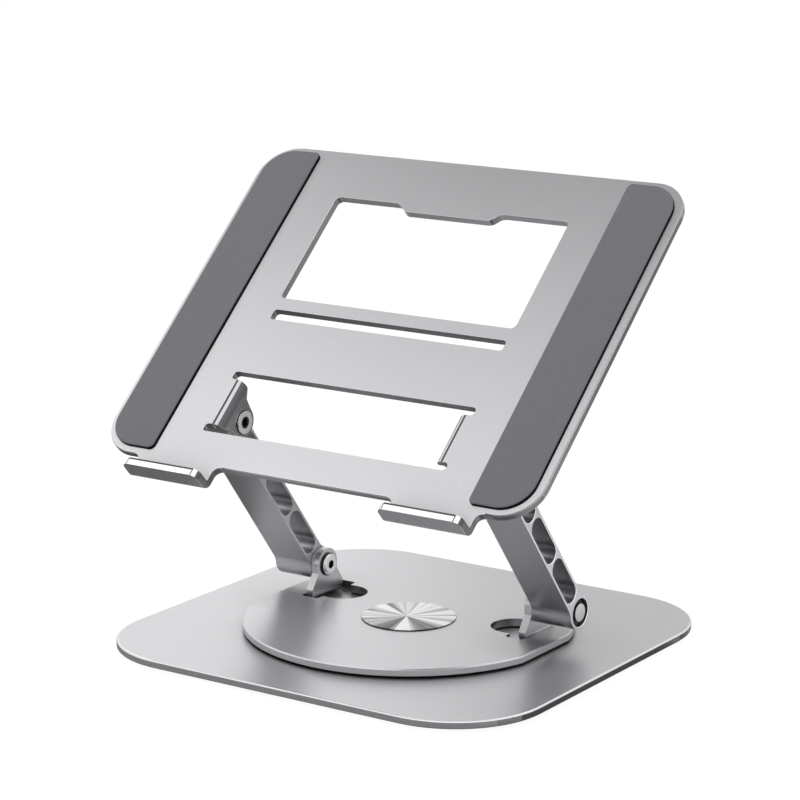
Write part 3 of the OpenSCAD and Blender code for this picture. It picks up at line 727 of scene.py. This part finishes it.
def near_axis(piece: bpy.types.Object, place: Vector, reach: float) -> Callable[[Face], bool]:
    """Returns a test for faces whose corners all lie near an axis along X.

    Args:
        piece: The piece whose faces are tested.
        place: A point on the axis.
        reach: The greatest distance from the axis, in metres.

    Returns:
        The test.
    """
    corners = piece.data.vertices

    def test(face: Face) -> bool:
        """Says whether every corner of a face is near the axis."""
        return all(
            math.hypot(corners[i].co.y - place.y, corners[i].co.z - place.z) < reach for i in face.vertices
        )

    return test


# Shares of a face's normal along one direction.
FLAT = 0.98
SIDEWAYS = 0.97
FACING = 0.9
TURNED = 0.3
UPRIGHT = 0.2
EVEN = 0.05


@dataclass
class BaseAssembly:
    """The base plate, its feet and the fixed parts of the turning axis.

    Attributes:
        edge_ease: Width of the broken edges of the plate.
        feet_ease: Width of the broken edges of the feet.
        back_share: Least share of a normal towards the back on the part of the rim that faces away.
        side_share: Least share towards the right on the part that faces sideways.
        turn_share: The same where the front turns into the side.
    """

    edge_ease: float = 0.22 * MM
    feet_ease: float = 0.3 * MM
    back_share: float = 0.03
    side_share: float = 0.96
    turn_share: float = 0.86

    def build(self, works: Workshop) -> None:
        """Builds and dresses the base."""
        plate = works.eased_copy(
            "base_plate", Body.BASE, BASE_SHEET, self.edge_ease, BRIGHT_EDGE
        )
        works.paint(plate, self._rim)
        works.eased_copy("corner_feet", Body.BASE, FOOT_RUBBER, self.feet_ease)
        for node in ("spindle_hub", "retainer_plate", "retainer_screws"):
            works.dress(node, ZINC_STEEL)
        works.dress("thrust_washer", ACETAL)

    def _rim(self, face: Face) -> Finish | None:
        """Chooses the cut edge's painted tone by its facing: painted light at the front, painted shade past
        the side.
        """
        right, back = face.normal.x, face.normal.y
        if abs(face.normal.z) > TURNED:
            return None
        if back > self.back_share:
            return BASE_BACK if right > TURNED else None
        return BASE_SIDE if right > self.side_share else BASE_TURN if right > self.turn_share else BASE_FRONT


@dataclass
class TurntableAssembly:
    """The turning disc with its lugs, its cap and the lower hinge bolts.

    Attributes:
        edge_ease: Width of the broken edges of the disc.
        bolt_ease: Width of the broken edges of the bolts and nuts.
        small_ease: Width of the broken edges of the cap and the washers.
        socket_reach: How far from its axis a lower bolt's key socket, painted black as painted shade,
            reaches.
        disc_area: An area that only the disc's top and bottom exceed, in square metres.
        lug_share: Least share along X of the normal of a lug's flat side.
        wall_share: Greatest share along Z of the normal of the cap's wall, which is painted black as painted
            shade.
    """

    edge_ease: float = 0.3 * MM
    bolt_ease: float = 0.25 * MM
    small_ease: float = 0.15 * MM
    socket_reach: float = 2.35 * MM
    disc_area: float = 0.002
    lug_share: float = 0.95
    wall_share: float = 0.7

    def build(self, works: Workshop) -> None:
        """Builds and dresses the turntable."""
        disc = works.eased_copy(
            "turntable_disc", Body.TURNTABLE, ANODISED_SHEET, self.edge_ease, BRIGHT_EDGE
        )
        top = max(face.center.z for face in disc.data.polygons if face.area > self.disc_area)
        # The lugs' flat sides get the copy with less painted shade, as painted light.
        works.second_finish(
            disc, DISC_LUG, lambda face: abs(face.normal.x) > self.lug_share and face.center.z > top
        )
        cap = works.eased_copy("centre_cap", Body.TURNTABLE, SPUN_CAP_PAINTED_SHEEN, self.small_ease)
        # Painted shade: the cap's wall painted black.
        works.second_finish(cap, BLACK_OXIDE_AND_PAINTED_SHADE, lambda face: abs(face.normal.z) < self.wall_share)
        works.dress("slip_washer", ACETAL)
        hinge = joint_place("arm_fold")
        turned = replace(LOWER_BOLT, centre=tuple(hinge))
        for side in Side:
            bolt = works.eased_copy(
                "lower_bolt_" + side.value, Body.TURNTABLE, turned, self.bolt_ease
            )
            # Painted shade: the key socket painted black.
            works.second_finish(bolt, BLACK_OXIDE_AND_PAINTED_SHADE, near_axis(bolt, hinge, self.socket_reach))
        nut_face = replace(LOWER_NUT, centre=tuple(hinge))
        works.eased_copy("lower_lock_nuts", Body.TURNTABLE, nut_face, self.bolt_ease)
        for node in ("lower_head_washers", "lower_spring_washers"):
            works.eased_copy(node, Body.TURNTABLE, BLACK_OXIDE_AND_PAINTED_SHADE, self.small_ease)


@dataclass
class ArmPair:
    """The two arms with their bushes and friction washers.

    Attributes:
        edge_ease: Width of the arms' broken edges.
    """

    edge_ease: float = 0.4 * MM

    def build(self, works: Workshop) -> None:
        """Builds and dresses both arms."""
        for side in Side:
            name = "arm_" + side.value
            works.eased_copy(name, Body.ARMS, ANODISED_BAR, self.edge_ease, BRIGHT_EDGE)
        for kind in ("hinge_bushes", "friction_washers"):
            for level in ("lower_", "upper_"):
                works.dress(level + kind, ACETAL)


@dataclass
class UpperHinge:
    """The bolts, washers and nuts that the tray and the arms share.

    Attributes:
        bolt_ease: Width of the broken edges of the bolts and nuts.
        washer_ease: Width of the broken edges of the washers.
        recess_reach: How far from its axis an upper bolt's recess, painted black as painted shade, reaches.
    """

    bolt_ease: float = 0.2 * MM
    washer_ease: float = 0.1 * MM
    recess_reach: float = 3.05 * MM

    def build(self, works: Workshop) -> None:
        """Builds and dresses the upper hinge's hardware."""
        hinge = joint_place("tray_tilt")
        turned = replace(UPPER_BOLT, centre=tuple(hinge))
        for side in Side:
            bolt = works.eased_copy(
                "upper_bolt_" + side.value, Body.UPPER_HINGE, turned, self.bolt_ease
            )
            # Painted shade: the recess painted black.
            works.second_finish(bolt, BLACK_OXIDE_AND_PAINTED_SHADE, near_axis(bolt, hinge, self.recess_reach))
        works.eased_copy("upper_lock_nuts", Body.UPPER_HINGE, turned, self.bolt_ease)
        for node in ("upper_head_washers", "upper_spring_washers"):
            works.eased_copy(node, Body.UPPER_HINGE, BLACK_OXIDE_AND_PAINTED_SHADE, self.washer_ease)


@dataclass
class TraySheet:
    """Where the parts of the tray's bent sheet lie, so that each face can be given its finish, with light
    and shade painted in by where it lies and how it leans.

    Attributes:
        up: Normal of the sheet's top.
        along: Direction up the slope.
        top: Height of the top along up, in metres.
        lip_inner: Place of the lips' inner walls along the slope, in metres.
        right: X of the right edge, in metres.
        depth: How far below the top a cut wall of the sheet can lie.
        crest_line: Width of the shaded line behind a lip's crest.
        lug_span: Greatest distance of a lug's bend from the middle.
        corner: How far the right corners reach in from the right edge.
        neck: Length of the necks that carry the lips.
        rear: How far behind the lips the rear opening's far walls begin.
        rim_line: How near the right edge a face has to lie to be its cut wall.
        lip_foot: Height above the top at which a lip begins.
        bend_leans: Leans, in degrees, at which a lug's bend begins, its painted dark line ends, its painted
            shade begins and the bend ends.
        crest_leans: Leans at which a lip's crest with its painted highlight, its painted dark line and its
            painted bright side end.
        back_lean: Greatest lean of the faces at a lip's back that get the painted dark line.
    """

    up: Vector
    along: Vector
    top: float
    lip_inner: float
    right: float
    depth: float = 4.75 * MM
    crest_line: float = 1.0 * MM
    lug_span: float = 68.0 * MM
    corner: float = 22.0 * MM
    neck: float = 9.0 * MM
    rear: float = 150.0 * MM
    rim_line: float = 0.7 * MM
    lip_foot: float = 1.0 * MM
    bend_leans: tuple[float, float, float, float] = (1.0, 14.0, 34.0, 90.0)
    crest_leans: Triple = (8.0, 20.0, 47.0)
    back_lean: float = 80.0

    @classmethod
    def measure(cls, mesh: bpy.types.Mesh) -> "TraySheet":
        """Measures a tray's mesh.

        Args:
            mesh: The mesh of the CAD node.

        Returns:
            The places found.
        """
        up = max(mesh.polygons, key=lambda face: face.area).normal.copy()
        if up.z < 0:
            up.negate()
        along = Vector((0, up.z, -up.y))
        flat = [face for face in mesh.polygons if face.area > 0.0005 and abs(face.normal.dot(up)) > 0.99]
        top = max(face.center.dot(up) for face in flat)
        inner = [
            face.center.dot(along) for face in mesh.polygons
            if face.normal.dot(along) > FLAT and face.center.dot(up) > top + 3 * MM
        ]
        return cls(up, along, top, max(inner), max(vertex.co.x for vertex in mesh.vertices))

    def crest_score(self) -> tuple[Vector, Vector]:
        """Returns the plane that parts the shaded line from the rest of a lip's crest."""
        return self.along * (self.lip_inner - self.crest_line), self.along

    def finish(self, face: Face) -> Finish | None:
        """Chooses a face's finish, or None for the one it has; most finishes chosen paint shade, dark
        reflection or light.
        """
        lift = face.center.dot(self.up) - self.top
        behind = face.center.dot(self.along) - self.lip_inner
        side, rise, back = abs(face.normal.x), face.normal.dot(self.up), face.normal.dot(self.along)
        lean = math.degrees(math.atan2(side, rise))
        # Painted shade on the right edge's cut wall.
        if face.center.x > self.right - self.rim_line:
            return SHADED_CUT_EDGE
        if lift > self.lip_foot:
            return self._lip(face, lean, back)
        # Painted shade on the walls and chamfers of the right corners.
        if face.center.x > self.right - self.corner and lift > -self.depth and abs(rise) < FLAT:
            return RIM_WALL if abs(rise) < UPRIGHT and back < TURNED else SHADED_CUT_EDGE
        if face.material_index:
            return None
        # Painted shade on the lips' outer faces.
        if behind < 0 and back < -UPRIGHT:
            return SHADED_LIP_FACE
        in_wall = -self.depth < lift < 0
        start, dark_line_end, shade_start, end = self.bend_leans
        in_bend = in_wall and abs(back) < EVEN and abs(face.center.x) < self.lug_span
        # Across a lug's bend: a painted dark reflection line, the sheet's own tone, then painted shade.
        if in_bend and start < lean < end:
            return PAINTED_DARK_LINE if lean < dark_line_end else None if lean < shade_start else BEND_SHADE
        # Painted shade on the tray lugs' flat sides.
        if lift < -self.depth and side > SIDEWAYS:
            return SHADED_TRAY_LUG
        if abs(rise) > UPRIGHT or not in_wall:
            return None
        # Painted light on the far walls of the rear opening.
        if back < -FACING and behind > self.rear:
            return BASE_FRONT
        # Painted shade on the necks and the other cut walls.
        in_neck = behind < self.neck and side > TURNED
        return RIM_WALL if in_neck or TURNED < side < FACING else SHADED_CUT_EDGE

    def _lip(self, face: Face, lean: float, back: float) -> Finish | None:
        """Chooses the finish of a face of a lip: a crest with a painted highlight, a painted dark line
        behind it and painted shade on its ends.
        """
        if abs(back) >= TURNED:
            if back > TURNED and lean < self.back_lean:
                return PAINTED_DARK_LINE
            return SHADED_LIP_FACE if back < -FACING and not face.material_index else None
        crest_end, dark_line_end, highlight_end = self.crest_leans
        if lean < crest_end:
            behind = face.center.dot(self.along) > self.lip_inner - self.crest_line
            return PAINTED_DARK_LINE if behind else BRIGHT_EDGE
        return PAINTED_DARK_LINE if lean < dark_line_end else BRIGHT_EDGE if lean < highlight_end else BEND_SHADE


@dataclass
class Tray:
    """The bent tray and its two pads.

    Attributes:
        edge_ease: Width of the tray's broken edges.
        pad_ease: Width of the pads' broken edges.
        step_rounding: Reach of the rounding at the steps of the rear opening.
    """

    edge_ease: float = 0.3 * MM
    pad_ease: float = 0.3 * MM
    step_rounding: float = 2.0 * MM

    def build(self, works: Workshop) -> None:
        """Builds and dresses the tray."""
        sheet = TraySheet.measure(frame["nodes"]["tray_plate"].data)
        plate = works.eased_copy(
            "tray_plate", Body.TRAY, ANODISED_TRAY, self.edge_ease, BRIGHT_EDGE,
            sheet.crest_score(), self.step_rounding,
        )
        works.paint(plate, sheet.finish)
        for side in Side:
            name = "pad_" + side.value
            pad = works.eased_copy(name, Body.TRAY, GREY_SILICONE, self.pad_ease)
            # Painted shade on the pads' sides.
            works.second_finish(pad, PAD_SIDE_SHADE, lambda face: abs(face.normal.dot(sheet.up)) < TURNED)
            pad.visible_glossy = False


# ---------------- studio


@dataclass(frozen=True)
class Card:
    """A flat card that only reflections see, shaded by the distance from a point.

    Attributes:
        name: The card's name.
        corners: Its corners, in metres.
        near: How bright it is at the first distance of reach.
        far: How bright it is at the second distance of reach.
        centre: The point that distances are measured from.
        reach: The two distances that the shading runs between.
        weights: How much each axis counts in the distance.
    """

    name: str
    corners: tuple[Triple, ...]
    near: float
    far: float
    centre: Triple = (0.0, 0.0, 0.0)
    reach: tuple[float, float] = (0.0, 1.0)
    weights: Triple = (1.0, 1.0, 1.0)

    def build(self) -> None:
        """Adds the card to the scene."""
        mesh = bpy.data.meshes.new(self.name)
        mesh.from_pydata([Vector(c) for c in self.corners], [], [tuple(range(len(self.corners)))])
        card = add_object(self.name, mesh)
        material, sheet = bare_material(self.name)
        place = sheet.add("ShaderNodeNewGeometry").outputs["Position"]
        offset = sheet.add("ShaderNodeVectorMath", {0: place, 1: self.centre}, operation="SUBTRACT")
        inputs = {0: offset.outputs[0], 1: self.weights}
        weighed = sheet.add("ShaderNodeVectorMath", inputs, operation="MULTIPLY")
        length = sheet.add("ShaderNodeVectorMath", {0: weighed.outputs[0]}, operation="LENGTH")
        inputs = {
            "Value": length.outputs["Value"], "From Min": self.reach[0], "From Max": self.reach[1],
            "To Min": self.near, "To Max": self.far,
        }
        shade = sheet.add("ShaderNodeMapRange", inputs, interpolation_type="SMOOTHSTEP")
        glow = sheet.add("ShaderNodeEmission", {"Color": WHITE, "Strength": shade.outputs["Result"]})
        sheet.add("ShaderNodeOutputMaterial", {"Surface": glow.outputs[0]})
        mesh.materials.append(material)
        card.visible_camera = False
        card.visible_diffuse = False
        card.visible_shadow = False
        card.visible_transmission = False


@dataclass(frozen=True)
class Lamp:
    """A rectangular soft lamp that reflections don't see.

    Attributes:
        name: The lamp's name.
        place: Where it hangs.
        aim: The point it faces.
        size: Its width and height.
        power: Its power, in watts.
    """

    name: str
    place: Triple
    aim: Triple
    size: tuple[float, float]
    power: float

    def build(self) -> None:
        """Adds the lamp to the scene."""
        light = bpy.data.lights.new(self.name, "AREA")
        light.shape = "RECTANGLE"
        light.size, light.size_y = self.size
        light.energy = self.power
        lamp = add_object(self.name, light)
        lamp.location = self.place
        lamp.rotation_mode = "QUATERNION"
        lamp.rotation_quaternion = (Vector(self.aim) - Vector(self.place)).to_track_quat("-Z", "Y")
        lamp.visible_glossy = False


def outline(height: float, *corners: tuple[float, float]) -> tuple[Triple, ...]:
    """Gives the corners of a level card."""
    return tuple((x, y, height) for x, y in corners)


FRONT_FLOOR_CARD = Card(
    "front_floor_card",
    outline(
        -0.1 * MM, (-1.2, -1.6), (1.2, -1.6), (1.2, -0.128), (0.135, -0.128), (0.135, 0.06), (0.02, 0.14),
        (-1.2, 0.14),
    ),
    near=0.17, far=0.17,
)
BACK_FLOOR_CARD = Card(
    "back_floor_card",
    outline(
        -0.1 * MM, (-0.3, 0.15), (0.1, 0.15), (0.33, 0.41), (0.42, 0.49), (0.4, 0.3), (0.25, 0.1),
        (1.4, 0.1), (1.4, 1.6), (-0.3, 1.6),
    ),
    near=0.16, far=0.16,
)
CEILING_CARD = Card(
    "ceiling_card", outline(0.9, (-1.5, -1.2), (-1.5, 1.2), (1.5, 1.2), (1.5, -1.2)),
    near=0.0, far=1.3, centre=(-0.31, 0.25, 0.9), reach=(0.12, 0.6), weights=(0.65, 1.0, 1.0),
)
WALL_CARD = Card(
    "wall_card", ((-0.9, 0.25, 0.0), (0.09, 0.25, 0.0), (0.09, 0.25, 0.32), (-0.9, 0.25, 0.32)),
    near=0.72, far=1.07, centre=(0.0, 0.25, 0.1), reach=(0.04, 0.28), weights=(1.0, 0.0, 0.2),
)
OVERHEAD = Lamp("overhead", place=(-0.2, -0.1, 1.3), aim=(0, 0, 0.1), size=(1.4, 1.2), power=9.0)
LEFT_FILL = Lamp("left_fill", place=(-1.4, -0.6, 0.8), aim=(0, 0, 0.1), size=(0.8, 0.8), power=4.0)


@dataclass
class Studio:
    """Floor, lights, reflecting cards and camera.

    Attributes:
        camera_place: Where the camera stands.
        camera_azimuth: Angle of its view, from +Y towards -X, in degrees.
        camera_pitch: How far it looks down, in degrees.
        lens: Focal length on a 36 mm sensor, in millimetres.
        fill: Strength of the grey light from all round.
        floor_size: Half the floor's width, in metres.
        floor_drop: How far the floor lies below the stand.
        floor_tone: How much of the light the floor gives back.
        floor_glow: Brightness of the floor's own white.
        floor_share: Share of that white in what the camera sees.
    """

    camera_place: Triple = (0.78503, -1.16376, 0.44837)
    camera_azimuth: float = 34.14
    camera_pitch: float = 13.05
    lens: float = 130.84
    fill: float = 0.5
    floor_size: float = 12.0
    floor_drop: float = 0.2 * MM
    floor_tone: float = 0.8
    floor_glow: float = 1.1
    floor_share: float = 0.86

    def build(self) -> None:
        """Sets up the whole studio."""
        self._world()
        self._floor()
        for item in (FRONT_FLOOR_CARD, BACK_FLOOR_CARD, CEILING_CARD, WALL_CARD, OVERHEAD, LEFT_FILL):
            item.build()
        self._camera()
        bpy.context.scene.view_settings.view_transform = "Standard"

    @staticmethod
    def _seen(sheet: NodeSheet) -> Socket:
        """Gives 1 for rays that see the background itself: camera, glossy and transmission rays."""
        rays = sheet.add("ShaderNodeLightPath").outputs
        either = sheet.math("MAXIMUM", rays["Is Camera Ray"], rays["Is Glossy Ray"])
        return sheet.math("MAXIMUM", either, rays["Is Transmission Ray"])

    def _world(self) -> None:
        """Plain white for what sees the background, soft grey light for the rest."""
        world = bpy.data.worlds.new("studio")
        bpy.context.scene.world = world
        world.use_nodes = True
        world.node_tree.nodes.clear()
        sheet = NodeSheet(world.node_tree)
        fill, white = (
            sheet.add("ShaderNodeBackground", {"Color": WHITE, "Strength": strength}).outputs[0]
            for strength in (self.fill, 1.0)
        )
        mix = sheet.add("ShaderNodeMixShader", {"Fac": self._seen(sheet), 1: fill, 2: white})
        sheet.add("ShaderNodeOutputWorld", {"Surface": mix.outputs[0]})

    def _floor(self) -> None:
        """A pale floor that keeps a soft shadow and meets the white background."""
        mesh = bpy.data.meshes.new("floor")
        work = bmesh.new()
        bmesh.ops.create_grid(work, x_segments=4, y_segments=4, size=self.floor_size)
        work.to_mesh(mesh)
        work.free()
        floor = add_object("floor", mesh)
        floor.location = (0, 0, -self.floor_drop)
        material, sheet = bare_material("pale_floor")
        tone = (self.floor_tone, self.floor_tone, self.floor_tone, 1)
        matte = sheet.add("ShaderNodeBsdfDiffuse", {"Color": tone})
        glow = sheet.add("ShaderNodeEmission", {"Strength": self.floor_glow})
        share = sheet.math("MULTIPLY", self._seen(sheet), self.floor_share)
        inputs = {"Fac": share, 1: matte.outputs[0], 2: glow.outputs[0]}
        mix = sheet.add("ShaderNodeMixShader", inputs)
        sheet.add("ShaderNodeOutputMaterial", {"Surface": mix.outputs[0]})
        mesh.materials.append(material)

    def _camera(self) -> None:
        """A long lens from the front right, a little above the stand."""
        data = bpy.data.cameras.new("view")
        data.lens = self.lens
        data.sensor_width = 36.0
        data.clip_start = 0.05
        data.clip_end = 60.0
        camera = add_object("view", data)
        azimuth, pitch = math.radians(self.camera_azimuth), math.radians(self.camera_pitch)
        level = math.cos(pitch)
        forward = Vector((-math.sin(azimuth) * level, math.cos(azimuth) * level, -math.sin(pitch)))
        facing = forward.to_track_quat("-Z", "Y").to_matrix().to_4x4()
        camera.matrix_world = Matrix.Translation(self.camera_place) @ facing
        bpy.context.scene.camera = camera


def main() -> None:
    """Builds the studio and each sub-assembly in order, and reports what was made."""
    logging.basicConfig(level=logging.INFO, format="%(name)s: %(message)s", force=True)
    Studio().build()
    works = Workshop(FinishShop(SharedEffects()))
    for part in (BaseAssembly(), TurntableAssembly(), ArmPair(), UpperHinge(), Tray()):
        part.build(works)
        log.info("%s is ready", type(part).__name__)
    left = sorted(set(frame["nodes"]) - set(works.made))
    log.info("nodes without a finish: %s", left or "none")


if __name__ == "__main__":
    main()
